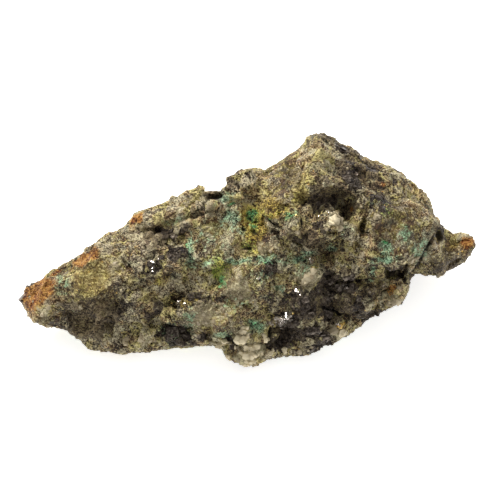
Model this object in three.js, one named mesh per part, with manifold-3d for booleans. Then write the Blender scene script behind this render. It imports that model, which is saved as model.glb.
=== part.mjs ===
// A broken lump of copper-stained gold ore in quartz: one stone, resting on its rough underside.
// It is drawn in the frame of its large broken face (x along the face, y up it, h out of it),
// then leaned back and stood on the ground. Lengths are in millimetres, angles in degrees.
import * as THREE from "three";
import { ImprovedNoise } from "three/addons/math/ImprovedNoise.js";
import { mergeVertices } from "three/addons/utils/BufferGeometryUtils.js";
import Module from "manifold-3d";

// ---------------------------------------------------------------- driving dimensions
const leanBack = 30; // the face's tilt from upright
const faceHeight = 20.5; // the ground to the middle of the face
const segmentsAlong = 60; // rings from the right tip to the left tip
const segmentsAround = 48; // points in a ring
const frontShare = 0.62; // the part of each ring that lies on the broken face
const scallopSize = 5.5; // the usual width of a fracture scallop
const scallopRelief = 1.5; // its depth, as a share of the plain bowl's
const backCell = 17; // the width of the larger breaks on the back
const backBreakage = 13; // and their depth
const backTuck = 0.16; // how far the back draws in behind the rims, as a share of its height
const undersideRelief = 1.6; // how far the underside stands clear between its pads
const rightTip = [56.3, 2.4, -5.6];
const leftTip = [-56.9, -11.8, -5.8];

// The flat patches of the underside that the stone rests on: [x, y, half width, half depth]
const pads = [[4, 8, 15, 8], [-33, -2, 9, 6], [34, 10, 8, 7], [8, -9, 9, 4]];

// The stone's outline, looking straight at the face, from left to right.
const upperRim = [
  [-56.9, -11.8], [-55.2, -9.5], [-52, -6.8], [-48.5, -4.2], [-45, -2.2], [-42.2, 0.3],
  [-38.5, 2.2], [-36.5, 4.5], [-33, 5], [-31.2, 6.8], [-28, 9.8], [-25, 11], [-21.5, 12],
  [-18.5, 13.4], [-14.5, 14.8], [-12, 14.7], [-10.8, 13.8], [-9.8, 14.9], [-6.2, 15.2],
  [-5.4, 18], [-2.6, 20.2], [4, 20.2], [6.5, 21.8], [10, 24.2], [13, 26.4], [15.3, 29.3],
  [18.6, 29.5], [22.2, 27.4], [26, 25.2], [28.8, 23.2], [32.4, 22.7], [35.4, 20.9],
  [39, 18.6], [42.6, 16.2], [44, 13.6], [45.6, 12], [45.9, 8.2], [47.2, 6.2], [50, 4.6],
  [53.6, 3.8], [55.8, 3.3], [56.3, 2.4],
];
const lowerRim = [
  [-56.9, -11.8], [-55.2, -16], [-53.6, -18.2], [-51.5, -19.2], [-47.5, -19.7],
  [-44.5, -21], [-42.4, -22.8], [-40.4, -25.2], [-34, -25.9], [-27, -25.7], [-22, -25.1],
  [-15, -24.4], [-9.8, -24], [-8.2, -24.5], [-6.8, -26.8], [-5.4, -28.4], [-0.4, -29.4],
  [1.2, -28.8], [3, -27.8], [5.4, -27.8], [8, -27.2], [14, -27], [17.2, -25.6],
  [20.6, -22.8], [22.4, -22], [24.6, -21.2], [28.6, -18.4], [31.8, -16], [35, -14.8],
  [38.4, -12.6], [39.3, -10.2], [39.9, -6.9], [41.5, -6.3], [47.5, -6.2], [50, -4.6],
  [53, -2.7], [55.3, -0.6], [56.3, 2.4],
];

// The stone's bulk at stations along it: where the crest of the face runs, how far it stands
// out, how far out the upper and lower rims lie, and how deep the stone is behind them.
const bulk = [
  { x: -56.9, crestY: -11.8, crest: -5.4, upper: -5.8, lower: -5.8, depth: 0.6 },
  { x: -52, crestY: -12.5, crest: -0.5, upper: -5, lower: -6.5, depth: 7 },
  { x: -46, crestY: -11.5, crest: 3, upper: -4, lower: -6.5, depth: 11.5 },
  { x: -38, crestY: -9.5, crest: 5.5, upper: -3, lower: -6, depth: 16 },
  { x: -28, crestY: -5, crest: 7.5, upper: -2.5, lower: -6, depth: 20 },
  { x: -18, crestY: -2, crest: 8.5, upper: -2, lower: -6, depth: 23 },
  { x: -8, crestY: 0, crest: 9, upper: -2, lower: -6, depth: 25 },
  { x: 2, crestY: 2, crest: 10, upper: -2.5, lower: -6, depth: 27 },
  { x: 12, crestY: 6, crest: 12, upper: -3, lower: -6, depth: 28 },
  { x: 20, crestY: 8, crest: 13.5, upper: -4, lower: -5.5, depth: 28 },
  { x: 30, crestY: 6, crest: 13.5, upper: -4, lower: -4, depth: 26 },
  { x: 38, crestY: 4, crest: 12, upper: -4, lower: -3, depth: 22 },
  { x: 43, crestY: 3, crest: 10, upper: -4, lower: -3, depth: 17 },
  { x: 46, crestY: 2.5, crest: 8, upper: -5, lower: -4, depth: 12 },
  { x: 48, crestY: 1.5, crest: 0, upper: -5.5, lower: -6, depth: 8 },
  { x: 52, crestY: 1.5, crest: -2, upper: -5.5, lower: -6.5, depth: 6 },
  { x: 56.3, crestY: 2.4, crest: -5.4, upper: -5.6, lower: -5.6, depth: 0.6 },
];

// Steps in the face. The side to the left of the path stands up by rise and the other side
// drops away by fall, each easing off over its reach.
const ledges = [
  { name: "brow", rise: 2.2, fall: 2.6, reach: [7, 5],
    path: [[2.5, 10.5], [3.4, 8.8], [5.6, 8.6], [7.4, 6.2], [9.3, 3.8], [12, 2.2], [15, 1],
           [19, 2.6], [21.5, 3.4]] },
  { name: "cave roof", rise: 1.4, fall: 4, reach: [5, 6],
    path: [[10.5, 12.6], [12, 14.4], [14, 15.6], [17.6, 16], [21.5, 15.2], [25, 13.6], [27, 11.6]] },
  { name: "edge below the summit", rise: 1.6, fall: 1.6, reach: [8, 8],
    path: [[15.5, 27], [13.6, 22], [12.6, 18], [11.4, 14], [9, 10.5]] },
  { name: "lobe's lower edge", rise: 1.2, fall: 4.6, reach: [5, 7],
    path: [[28.5, -4.2], [31, -4.4], [37.6, -4.2], [42, -3.4], [44.8, -1.4], [46.4, 1.6], [46.6, 5]] },
  { name: "lip over the dark hollow", rise: 0.3, fall: 2.6, reach: [5, 6],
    path: [[16.5, -3], [20, -4.6], [24, -5.4], [28, -4.8]] },
  { name: "dark bank", rise: 1.2, fall: 2.6, reach: [6, 7],
    path: [[-50, -11.5], [-47.5, -12.5], [-45.4, -13.4], [-43.8, -12.6], [-42.2, -14.4], [-40, -13],
           [-38.4, -11.6], [-35, -10.6], [-30.5, -12]] },
  { name: "slab's top edge", rise: 1.6, fall: 2.2, reach: [9, 3.5],
    path: [[-6, -8.4], [-9, -9.6], [-12.5, -11], [-17.4, -11.8], [-21.6, -13.8]] },
  { name: "pale wedge", rise: 1.2, fall: 1.4, reach: [6, 3],
    path: [[1, -2.8], [-3, -4], [-7.4, -6.6], [-8, -10]] },
  { name: "knob's foot", rise: 1, fall: 1.8, reach: [4, 4],
    path: [[-23, 6], [-20, 8], [-16.5, 9.4], [-12.4, 10.2], [-9.4, 8.8]] },
  { name: "left shelf", rise: 0.6, fall: 1.2, reach: [5, 5],
    path: [[-36, -1], [-31, -3.2], [-27, -6.8], [-21, -7.4], [-19, -4.8]] },
  { name: "lower hackle", rise: 1, fall: 2.2, reach: [4, 5],
    path: [[14, -11], [18, -13.4], [21, -13.2], [25, -14], [30, -12], [34.5, -11]] },
  { name: "foot of the middle", rise: 0.9, fall: 1.8, reach: [4, 5],
    path: [[3, -13], [6, -15.4], [9, -19], [13, -21.4], [18, -20]] },
];

// Broad swells (positive) and hollows (negative): [x, y, half width, half height, turn, rise]
const swells = [
  [17, 22, 5, 8, 15, 2.6], [9, 18, 8, 5, 35, 1.4], [33, 12, 9, 7, -35, 1.6], [42, 8, 4, 7, 0, 1.2],
  [-3, 17, 4.5, 4, 0, 2], [-16, 11.6, 5, 3.2, 20, 2], [-10, 9.6, 1.8, 3, 0, 1.6],
  [-26, 8, 5, 2.5, 25, 1.2],
  [-36, -4, 8, 4, 25, 1.4], [-52, -14.6, 4, 3.6, -20, 1.4], [-9, -17, 8, 5, 15, 1.8],
  [0, -23, 5, 5.5, 0, 2.6],
  [15, -22.5, 4.6, 3.4, 0, 2], [35.5, -12.4, 4, 2.2, 25, 2], [37, -9, 1.8, 2.2, 0, 1.6],
  [22.4, -20, 3.2, 2, 15, 2],
  [14.5, -6, 3, 2.8, 0, 2], [19.8, 7.2, 2.2, 2.6, 0, 3], [24.5, 4.6, 2.6, 2.6, 0, 1.8],
  [10, 5.4, 3, 3.4, -40, 1.8],
  [36, 0.5, 7, 3.4, 10, 1.6], [-2.5, -7, 3.4, 3.4, 30, 1.4], [52, 0.6, 3, 1.8, 15, 0.8],
  [18, 12, 6.5, 3.6, 0, -3.4], [23, 9.6, 2.4, 2.8, 20, -4.4], [16.5, 0, 5.6, 2.6, 10, -3.2],
  [27.6, 5.6, 1.4, 2.8, 5, -3],
  [46.8, 3.4, 1.4, 2.6, 0, -4], [22, -7.4, 6, 2.4, 10, -2.6], [34, -6.4, 4.6, 2.4, 0, -3],
  [21.5, -15.4, 4.4, 3, 10, -3],
  [35.2, -10, 1.8, 1.4, 0, -2], [8, -20.4, 4.4, 3, 20, -3.4], [30, -13, 2.6, 2, 0, -1.6],
  [6.5, -16.4, 2.6, 2.6, 0, -1.4],
  [-17.4, -12.8, 2.4, 1.6, 0, -2.6], [-19.5, -20, 3, 2.8, 0, -2.8], [-10, -20.6, 1.2, 2, 0, -2.4],
  [-6, -23, 2.4, 3.4, -20, -2],
  [-23.5, 3.6, 3, 2, 10, -2.2], [-18, 3.4, 2.4, 2.2, 0, -2.2], [-24.5, -3.4, 2, 2.6, -30, -1.6],
  [-32, -10, 2.6, 2, 0, -1.6],
  [-39, -17, 7, 4, 10, -2], [-46, -16.4, 5, 3, -10, -1.8], [-25, -16.5, 5, 3.4, 0, -1.6],
  [3, 4.6, 3, 2.4, -30, -1.2],
  [-3.4, 12.4, 3, 1.6, 0, -1.2], [30, 17, 7, 3, -30, -1], [-1, 1, 5, 3, 10, -1],
];

// Angular lumps of quartz and sulphide standing out of the face:
// [x, y, half width, half height, turn, lift]
const lumps = [
  [19.8, 7.4, 2.2, 2.6, 10, 0.8], [24.2, 4.8, 2.2, 2.2, 30, 0.3], [14.4, -6.2, 2.6, 2.3, 20, 0.8],
  [9.6, 5.6, 2.4, 2.8, -40, 0.4], [7.4, 7.6, 1.8, 1.6, 20, 0.2], [-15, 12.4, 3.6, 2.4, 15, 0],
  [-10.4, 10, 1.3, 2, 0, 0.6], [-2, 17.4, 3.4, 2.8, 20, 0], [-4.2, 15, 2.2, 1.8, 0, 0],
  [0.6, -24, 3.2, 2.8, 30, 0.2], [-2.6, -25.6, 2.6, 2, 0, 0], [1.4, -26.6, 2, 1.6, 40, 0],
  [-2.6, -21, 2.4, 2.2, 60, 0.3], [3.2, -21.6, 1.8, 1.6, 0, 0.3], [37, -8.8, 1.9, 1.9, 30, 0.3],
  [35, -12.2, 2.8, 1.6, 25, 0.2], [15.4, -22.4, 3.2, 2.4, 10, 0], [11.4, -23.4, 2, 1.6, 50, 0],
  [-42.6, -13.6, 1.3, 2, 0, 0.6], [-33, -2.6, 2.4, 1.6, 20, 0], [-29.6, -7, 2, 1.3, 25, 0.2],
  [-28.8, -10.6, 2.2, 1.2, 5, 0.2], [13.8, 22, 2, 1.7, 40, 0], [12.4, 17, 1.3, 2.8, -25, 0.3],
  [32, 8, 2.4, 2, 30, 0], [38.4, 1.4, 2.2, 1.6, 10, 0], [34, 4, 1.8, 1.8, 60, 0],
  [41, -1.4, 2.6, 1.3, 20, 0.2], [32.4, -1.8, 2.6, 1.1, 10, 0.3], [28, 1, 1.5, 2.2, 0, 0.2],
  [22.6, -1.4, 2, 1.4, 0, 0.2], [-1.4, -5, 2.8, 1.8, 35, 0.2], [-4.2, -8.4, 2.2, 1.8, 0, 0],
  [-13.4, -14, 2.4, 1.6, 10, 0], [-8, -14.6, 2.6, 1.9, 20, 0], [-20.4, -15.4, 2, 1.3, 0, 0.2],
  [-25.6, -20.2, 2.6, 1.6, -10, 0], [-14, 1.4, 2.2, 1.4, 20, 0], [-8.6, -0.4, 2.1, 1.4, 0, 0],
  [4.6, 0.4, 2.2, 1.6, 10, 0], [-5, 7.6, 2, 1.3, 30, 0], [50, -1.4, 2.2, 1, 25, 0],
];

// Cleaved dark sulphide cubes, half sunk in the face: [x, y, edge, turn]
const cubes = [
  [7.4, -17, 2.4, 20], [9.8, -16.2, 1.8, 50], [5.6, -18.2, 1.6, 10], [11.6, -13, 2, 35],
  [12.6, -10, 1.8, 15],
  [22.4, -8.6, 2.4, 30], [25.4, -9.6, 2, 60], [19.4, -9.4, 1.8, 5], [22.4, -17.6, 2, 34],
  [27.6, -15.4, 1.6, 70],
  [-23.4, -3.6, 2.2, 25], [-21.6, -1.6, 1.6, 55], [-31.6, -9.4, 2, 15], [-16.6, -13.2, 2, 40],
  [-19.4, -20.6, 2.4, 22],
  [-18, -22, 2, 55], [-22.6, -22.6, 1.8, 30], [14.6, -2, 1.6, 20], [30, -9.4, 1.8, 45], [33, -8, 2, 10],
  [9, -22.4, 2, 30], [6.4, -24, 1.6, 60], [-25, 3.6, 1.8, 40], [-18.4, 3.4, 1.8, 15],
  [-4, -23, 1.6, 35],
];

// Sharp-sided pits and cracks: [x, y, half width, half height, turn, depth]
const pits = [
  [23.2, 9.3, 1.5, 1.8, 15, 4], [19.6, 4.3, 1.3, 0.6, 10, 2], [27.6, 5.8, 0.9, 1.6, 5, 2.4],
  [6.8, 6, 2.6, 0.6, -52, 2.6], [10.8, 2.6, 2.6, 0.5, -30, 2.4], [47.3, 4.2, 1.4, 1.6, 10, 3.4],
  [36, -5.8, 3, 1.5, 0, 2.6], [33.6, -9.4, 1.4, 1.2, 20, 2.2], [-19.2, -13.4, 2, 1.5, 10, 2.2],
  [-18.2, -20.8, 3.6, 2.6, -8, 2], [-11.8, -21.4, 1, 1.5, -8, 2.6], [-8.8, 14.2, 2, 0.8, 8, 2],
  [-24.2, 5, 2.4, 1, 12, 2], [-19.6, 2.8, 3, 1.5, 4, 2.2],
];

const radians = THREE.MathUtils.degToRad;
const noise = new ImprovedNoise();
const wasm = await Module();
wasm.setup();

// ---------------------------------------------------------------- small helpers

// A repeatable number from 0 to 1 for each seed.
function chance(seed) {
  const s = Math.sin(seed * 127.1 + 311.7) * 43758.5453;
  return s - Math.floor(s);
}

// y on a polyline of [x, y] points that runs from left to right.
function heightOn(line, x) {
  let i = 1;
  while (i < line.length - 1 && line[i][0] < x) i++;
  const [x0, y0] = line[i - 1];
  const [x1, y1] = line[i];
  return THREE.MathUtils.lerp(y0, y1, THREE.MathUtils.clamp((x - x0) / (x1 - x0), 0, 1));
}

// The bulk's measures at x, eased between the stations.
function bulkAt(x) {
  let i = 1;
  while (i < bulk.length - 1 && bulk[i].x < x) i++;
  const [a, b] = [bulk[i - 1], bulk[i]];
  const share = THREE.MathUtils.clamp((x - a.x) / (b.x - a.x), 0, 1);
  const found = {};
  for (const key of Object.keys(a)) found[key] = THREE.MathUtils.lerp(a[key], b[key], share);
  return found;
}

// From 1 at the crest (t = 0) to 0 at the rim (t = 1): part roof, part dome.
function swellFrom(t) {
  const inside = THREE.MathUtils.clamp(t, 0, 1);
  return 0.4 * (1 - inside) + 0.6 * (1 - inside ** 2.2) ** 0.6;
}

// Distance from a point to a path, positive on its left, and how far past its ends the point lies.
function besidePath(path, x, y) {
  let best = { distance: Infinity, past: 0 };
  for (let i = 1; i < path.length; i++) {
    const [ax, ay] = path[i - 1];
    const [bx, by] = path[i];
    const [dx, dy] = [bx - ax, by - ay];
    const length = Math.hypot(dx, dy);
    const along = ((x - ax) * dx + (y - ay) * dy) / length;
    const held = THREE.MathUtils.clamp(along, 0, length);
    const reach = Math.hypot(x - ax - (dx * held) / length, y - ay - (dy * held) / length);
    if (reach < Math.abs(best.distance)) {
      const side = dx * (y - ay) - dy * (x - ax) >= 0 ? 1 : -1;
      const beforeStart = i === 1 ? Math.max(0, -along) : 0;
      const afterEnd = i === path.length - 1 ? Math.max(0, along - length) : 0;
      best = { distance: side * reach, past: beforeStart + afterEnd };
    }
  }
  return best;
}

// Fracture scallops: shallow bowls at random tilts, one for each cell of a jittered grid, that
// meet in sharp ridges. Heights are in cells.
function scallops(p, cell) {
  const [gx, gy, gz] = [p.x / cell, p.y / cell, p.z / cell];
  let lowest = Infinity;
  for (let i = -1; i <= 1; i++)
    for (let j = -1; j <= 1; j++)
      for (let k = -1; k <= 1; k++) {
        const [cx, cy, cz] = [Math.floor(gx) + i, Math.floor(gy) + j, Math.floor(gz) + k];
        const seed = cx * 17 + cy * 59 + cz * 113;
        const away = [
          gx - cx - chance(seed + 0.1),
          gy - cy - chance(seed + 0.2),
          gz - cz - chance(seed + 0.3),
        ];
        const tilted = away.reduce((sum, d, n) => sum + d * (chance(seed + 0.4 + n / 10) - 0.5), 0);
        const bowl = 0.5 * away.reduce((sum, d) => sum + d * d, 0);
        lowest = Math.min(lowest, tilted + bowl + 0.4 * (chance(seed + 0.8) - 0.5));
      }
  return lowest;
}

// ---------------------------------------------------------------- the broken face and the back

// How far the face stands out at (x, y), before its fine breakage.
function faceAt(x, y) {
  const b = bulkAt(x);
  const [top, bottom] = [heightOn(upperRim, x), heightOn(lowerRim, x)];
  const above = y > b.crestY;
  const t = above ? (y - b.crestY) / (top - b.crestY) : (b.crestY - y) / (b.crestY - bottom);
  const edge = above ? b.upper : b.lower;
  let h = edge + (b.crest - edge) * swellFrom(t);
  for (const { path, rise, fall, reach } of ledges) {
    const { distance, past } = besidePath(path, x, y);
    const ragged = distance + noise.noise(x / 2.5, y / 2.5, 3.5);
    const up = THREE.MathUtils.smoothstep(ragged, -1, 1);
    const step = up * rise * Math.exp(-Math.max(ragged, 0) / reach[0]);
    const drop = (1 - up) * fall * Math.exp(Math.min(ragged, 0) / reach[1]);
    h += (step - drop) * Math.exp(-past / 1.5);
  }
  for (const [sx, sy, wide, high, turn, rise] of swells) {
    const [c, s] = [Math.cos(radians(turn)), Math.sin(radians(turn))];
    const [dx, dy] = [x - sx, y - sy];
    const r = Math.hypot((dx * c + dy * s) / wide, (dy * c - dx * s) / high);
    h += rise * Math.exp(-(r ** 3));
  }
  return h;
}

// How far back the stone reaches at (x, y), where there is no ground under it.
function backAt(x, y) {
  const b = bulkAt(x);
  const [top, bottom] = [heightOn(upperRim, x), heightOn(lowerRim, x)];
  const middle = (top + bottom) / 2;
  const t = (y - middle) / ((top - bottom) / 2);
  const edge = THREE.MathUtils.lerp(b.lower, b.upper, (t + 1) / 2);
  return edge - b.depth * swellFrom(Math.abs(t));
}

// From the face's frame to the resting stone's.
const stand = new THREE.Matrix4()
  .makeTranslation(0, 0, faceHeight)
  .multiply(new THREE.Matrix4().makeRotationX(radians(leanBack)));

// A point of ring `along` (0 at the right tip, 1 at the left) and place `around` it
// (0 at the upper rim, then down the face, under the lower rim and up the back).
function ringPoint(along, around) {
  if (along < 0.5 / segmentsAlong) return new THREE.Vector3(...rightTip);
  if (along > 1 - 0.5 / segmentsAlong) return new THREE.Vector3(...leftTip);
  const x = THREE.MathUtils.lerp(rightTip[0], leftTip[0], along);
  const front = around <= frontShare;
  const share = front ? around / frontShare : 1 - (around - frontShare) / (1 - frontShare);
  const [top, bottom] = [heightOn(upperRim, x), heightOn(lowerRim, x)];
  const q = 1 - 2 * share; // 1 at the upper rim, -1 at the lower
  const eased = 0.55 * q + 0.45 * Math.sin((q * Math.PI) / 2);
  const tuck = front ? 0 : backTuck * Math.sin(Math.PI * share);
  const y = (top + bottom) / 2 + ((top - bottom) / 2) * (1 - tuck) * eased;
  return new THREE.Vector3(x, y, front ? faceAt(x, y) : backAt(x, y));
}

// How high the underside stands over the ground at (x, y): nothing on the pads it rests on.
function undersideAt(x, y) {
  const off = Math.min(
    ...pads.map(([px, py, wide, high]) => Math.hypot((x - px) / wide, (y - py) / high)),
  );
  const rise = THREE.MathUtils.smoothstep(off, 1, 1.8);
  return rise * Math.max(0.3, undersideRelief * (1 + 1.6 * noise.noise(x / 7, y / 7, 0.5)));
}

// A sphere's skin, moved ring by ring onto the stone's, then broken and set on the ground.
function mainMass() {
  const sphere = new THREE.SphereGeometry(1, segmentsAround, segmentsAlong);
  const { position, uv } = sphere.attributes;
  const rim = new Float32Array(position.count); // 1 on the rims, which keep their line
  for (let i = 0; i < position.count; i++) {
    const around = ((uv.getX(i) % 1) + 1) % 1;
    const fromTip = Math.min(uv.getY(i), 1 - uv.getY(i));
    position.setXYZ(i, ...ringPoint(1 - uv.getY(i), around));
    const fromRim = Math.min(around, 1 - around, Math.abs(around - frontShare), 2 * fromTip);
    rim[i] = 1 - THREE.MathUtils.smoothstep(fromRim, 0, 0.07);
  }
  sphere.setAttribute("rim", new THREE.BufferAttribute(rim, 1));
  const geometry = closed(sphere);
  geometry.computeVertexNormals();
  const { position: at, normal, rim: held } = geometry.attributes;
  for (let i = 0; i < at.count; i++) {
    const p = new THREE.Vector3().fromBufferAttribute(at, i);
    const outward = new THREE.Vector3().fromBufferAttribute(normal, i);
    const behind = outward.z < 0 ? backBreakage : 0;
    const fine = scallopSize * scallopRelief * scallops(p, scallopSize);
    const broken = fine + behind * scallops(p, backCell);
    p.addScaledVector(outward, (1 - held.getX(i)) * broken).applyMatrix4(stand);
    at.setXYZ(i, p.x, p.y, Math.max(p.z, undersideAt(p.x, p.y)));
  }
  geometry.deleteAttribute("rim");
  return geometry;
}

// Where a line square to the face first meets the stone.
const outOfFace = new THREE.Vector3(0, 0, 1).transformDirection(stand);
function footing(x, y, mass) {
  const start = new THREE.Vector3(x, y, 100).applyMatrix4(stand);
  const line = new THREE.Raycaster(start, outOfFace.clone().negate());
  return line.intersectObject(mass)[0].point;
}

// An angular block: a box with its corners knocked about, rooted in the face.
function block([x, y, wide, high, turn, lift], index, mass) {
  const thick = Math.min(wide, high);
  const geometry = closed(new THREE.BoxGeometry(1.8 * wide, 1.8 * high, 2 * thick));
  const { position } = geometry.attributes;
  for (let i = 0; i < position.count; i++) {
    const reach = [0, 1, 2].map((axis) => 0.6 + 0.5 * chance(index * 50 + i * 3 + axis));
    const corner = [position.getX(i), position.getY(i), position.getZ(i)];
    position.setXYZ(i, ...corner.map((place, axis) => place * reach[axis]));
  }
  geometry.rotateX(radians(50 * (chance(index + 0.2) - 0.5)));
  geometry.rotateY(radians(50 * (chance(index + 0.4) - 0.5)));
  geometry.rotateZ(radians(turn));
  geometry.rotateX(radians(leanBack));
  const root = footing(x, y, mass).addScaledVector(outOfFace, lift - 0.7 * thick);
  return geometry.translate(...root);
}

// A cleaved cube with one corner outwards.
function cube([x, y, edge, turn], index, mass) {
  const geometry = new THREE.BoxGeometry(edge, edge, edge);
  geometry.rotateX(radians(20 + 30 * chance(index + 0.3)));
  geometry.rotateY(radians(20 + 30 * chance(index + 0.6)));
  geometry.rotateZ(radians(turn));
  geometry.rotateX(radians(leanBack));
  return geometry.translate(...footing(x, y, mass));
}

// What is broken out of a pit: a box with its corners knocked about, sunk to its depth.
function hole([x, y, wide, high, turn, depth], index, mass) {
  const geometry = closed(new THREE.BoxGeometry(2 * wide, 2 * high, 4 * depth));
  const { position } = geometry.attributes;
  for (let i = 0; i < position.count; i++) {
    const reach = [0, 1].map((axis) => 0.75 + 0.5 * chance(index * 70 + i * 2 + axis + 0.5));
    position.setXY(i, position.getX(i) * reach[0], position.getY(i) * reach[1]);
  }
  geometry.rotateZ(radians(turn));
  geometry.rotateX(radians(leanBack));
  return geometry.translate(...footing(x, y, mass).addScaledVector(outOfFace, depth));
}

// ---------------------------------------------------------------- joining

// The geometry with its shared corners merged, so that it is one closed skin.
function closed(geometry) {
  geometry.deleteAttribute("normal");
  geometry.deleteAttribute("uv");
  return mergeVertices(geometry, 1e-4);
}

function solid(geometry) {
  const merged = closed(geometry);
  return new wasm.Manifold(
    new wasm.Mesh({
      numProp: 3,
      vertProperties: new Float32Array(merged.attributes.position.array),
      triVerts: new Uint32Array(merged.index.array),
    }),
  );
}

function geometryOf(manifold) {
  const { vertProperties, triVerts } = manifold.getMesh();
  return new THREE.BufferGeometry()
    .setAttribute("position", new THREE.BufferAttribute(vertProperties, 3))
    .setIndex(new THREE.BufferAttribute(triVerts, 1));
}

// What lies under the ground, which the lumps mustn't reach.
function ground() {
  const slab = new THREE.BoxGeometry(200, 200, 20);
  slab.translate(0, 0, -10);
  return slab;
}

const whole = new THREE.Mesh(mainMass());
let stone = solid(whole.geometry);
pits.forEach((pit, i) => (stone = stone.subtract(solid(hole(pit, i, whole)))));
const mass = new THREE.Mesh(geometryOf(stone));
lumps.forEach((lump, i) => (stone = stone.add(solid(block(lump, i, mass)))));
cubes.forEach((made, i) => (stone = stone.add(solid(cube(made, i, mass)))));
stone = stone.subtract(solid(ground()));

const geometry = geometryOf(stone);
geometry.computeBoundingBox();
const middle = geometry.boundingBox.getCenter(new THREE.Vector3());
geometry.translate(-middle.x, -middle.y, 0);
geometry.computeVertexNormals();

const rock = new THREE.Mesh(
  geometry,
  new THREE.MeshStandardMaterial({ color: 0x6b624c, roughness: 0.85, metalness: 0 }),
);
rock.name = "gold_quartz_rock";

const part = new THREE.Group();
part.add(rock);
export default part;
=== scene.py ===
from math import cos, radians, sin
from random import Random

import bmesh
import bpy
import numpy as np
from mathutils import Matrix, Vector, noise
from mathutils.bvhtree import BVHTree


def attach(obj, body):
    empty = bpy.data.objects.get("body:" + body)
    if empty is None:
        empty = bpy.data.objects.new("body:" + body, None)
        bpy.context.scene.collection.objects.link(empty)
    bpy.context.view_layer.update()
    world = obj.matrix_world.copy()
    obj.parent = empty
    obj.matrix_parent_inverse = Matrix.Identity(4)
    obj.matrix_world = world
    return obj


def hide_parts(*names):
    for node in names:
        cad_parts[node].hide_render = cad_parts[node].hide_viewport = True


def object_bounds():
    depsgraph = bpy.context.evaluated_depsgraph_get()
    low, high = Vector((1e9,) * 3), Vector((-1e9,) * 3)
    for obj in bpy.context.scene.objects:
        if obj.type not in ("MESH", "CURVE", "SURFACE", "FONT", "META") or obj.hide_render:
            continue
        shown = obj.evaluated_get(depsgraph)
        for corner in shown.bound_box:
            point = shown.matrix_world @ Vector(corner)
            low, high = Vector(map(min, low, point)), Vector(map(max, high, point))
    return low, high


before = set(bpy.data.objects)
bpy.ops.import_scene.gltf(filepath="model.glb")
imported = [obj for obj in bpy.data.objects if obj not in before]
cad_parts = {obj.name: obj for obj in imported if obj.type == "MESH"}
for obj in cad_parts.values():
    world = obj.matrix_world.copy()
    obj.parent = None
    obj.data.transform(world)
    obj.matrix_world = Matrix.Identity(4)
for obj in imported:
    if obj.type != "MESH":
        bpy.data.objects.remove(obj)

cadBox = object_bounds()
scene = bpy.context.scene
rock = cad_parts["gold_quartz_rock"]
mm = 0.001


# Shader maths.
class Wire:  # an output socket that can be used in sums
    def __init__(self, paint, socket):
        self.paint, self.socket = paint, socket

    def maths(self, operation, *others):
        return self.paint.node("ShaderNodeMath", {"operation": operation}, dict(enumerate((self, *others))))

    def __add__(self, other):
        return self.maths("ADD", other)

    def __mul__(self, other):
        return self.maths("MULTIPLY", other)

    def __sub__(self, other):
        return self.maths("SUBTRACT", other)

    def __rsub__(self, other):
        return self.paint.node("ShaderNodeMath", {"operation": "SUBTRACT"}, {0: other, 1: self})

    def __pow__(self, other):
        return self.maths("POWER", other)

    __radd__, __rmul__ = __add__, __mul__

    def over(self, low, high):  # 0 below low, 1 above high, eased between
        settings = {"interpolation_type": "SMOOTHSTEP"}
        return self.paint.node("ShaderNodeMapRange", settings, {0: self, 1: low, 2: high})


class Paint:  # a material and the nodes in it
    def __init__(self, name):
        self.material = bpy.data.materials.new(name)
        self.material.use_nodes = True
        self.tree = self.material.node_tree
        self.shader = self.tree.nodes["Principled BSDF"]
        self.place = self.node("ShaderNodeTexCoord", out="Object")

    def node(self, kind, settings=None, inputs=None, out=0):
        made = self.tree.nodes.new(kind)
        for key, value in (settings or {}).items():
            if key == "stops":
                self.setStops(made.color_ramp, value)
            else:
                setattr(made, key, value)
        self.feed(made, inputs or {})
        return Wire(self, made.outputs[out])

    def feed(self, node, inputs):
        for key, value in inputs.items():
            if isinstance(value, Wire):
                self.tree.links.new(value.socket, node.inputs[key])
            else:
                node.inputs[key].default_value = value

    def setStops(self, ramp, stops):
        while len(ramp.elements) < len(stops):
            ramp.elements.new(0.5)
        for element, (position, colour) in zip(ramp.elements, stops):
            element.position, element.color = position, (*colour, 1)

    def noise(self, perMm, detail=4, roughness=0.6, shift=(0, 0, 0), stretch=(1, 1, 1), turn=0, warp=0):
        turned = (0, 0, radians(turn))
        at = self.node("ShaderNodeMapping", None, {"Vector": self.place, "Location": shift, "Rotation": turned, "Scale": stretch})
        values = {"Vector": at, "Scale": perMm / mm, "Detail": detail, "Roughness": roughness, "Distortion": warp}
        return self.node("ShaderNodeTexNoise", None, values)

    def cells(self, perMm, feature="F1", out="Distance", shift=(0, 0, 0), at=None):
        at = at or self.node("ShaderNodeMapping", None, {"Vector": self.place, "Location": shift})
        return self.node("ShaderNodeTexVoronoi", {"feature": feature}, {"Vector": at, "Scale": perMm / mm}, out)

    def mix(self, under, over, factor):
        values = {0: factor, 6: under, 7: over}
        return self.node("ShaderNodeMix", {"data_type": "RGBA"}, values, 2)

    def attribute(self, name):
        return self.node("ShaderNodeAttribute", {"attribute_name": name}, out="Fac")


def linear(red, green, blue):  # a colour as seen, 0 to 255, in the renderer's units
    return tuple((c / 255 / 12.92) if c < 10 else ((c / 255 + 0.055) / 1.055) ** 2.4 for c in (red, green, blue))


# Camera, light and floor.
# Places on the broken face are (across, up) in mm, seen square to it; the right tip fixes them.
face = {"lean": 30, "tipAcross": 56.3, "tipUp": 2.4, "viewAcross": -0.6, "viewUp": 0.4}
studio = {"lens": 200, "frameHeight": 125, "key": 7.3, "fill": 0.6, "sky": 0.5, "board": 0.66, "keyFrom": (-0.3, 0.4, 0.56)}

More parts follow.
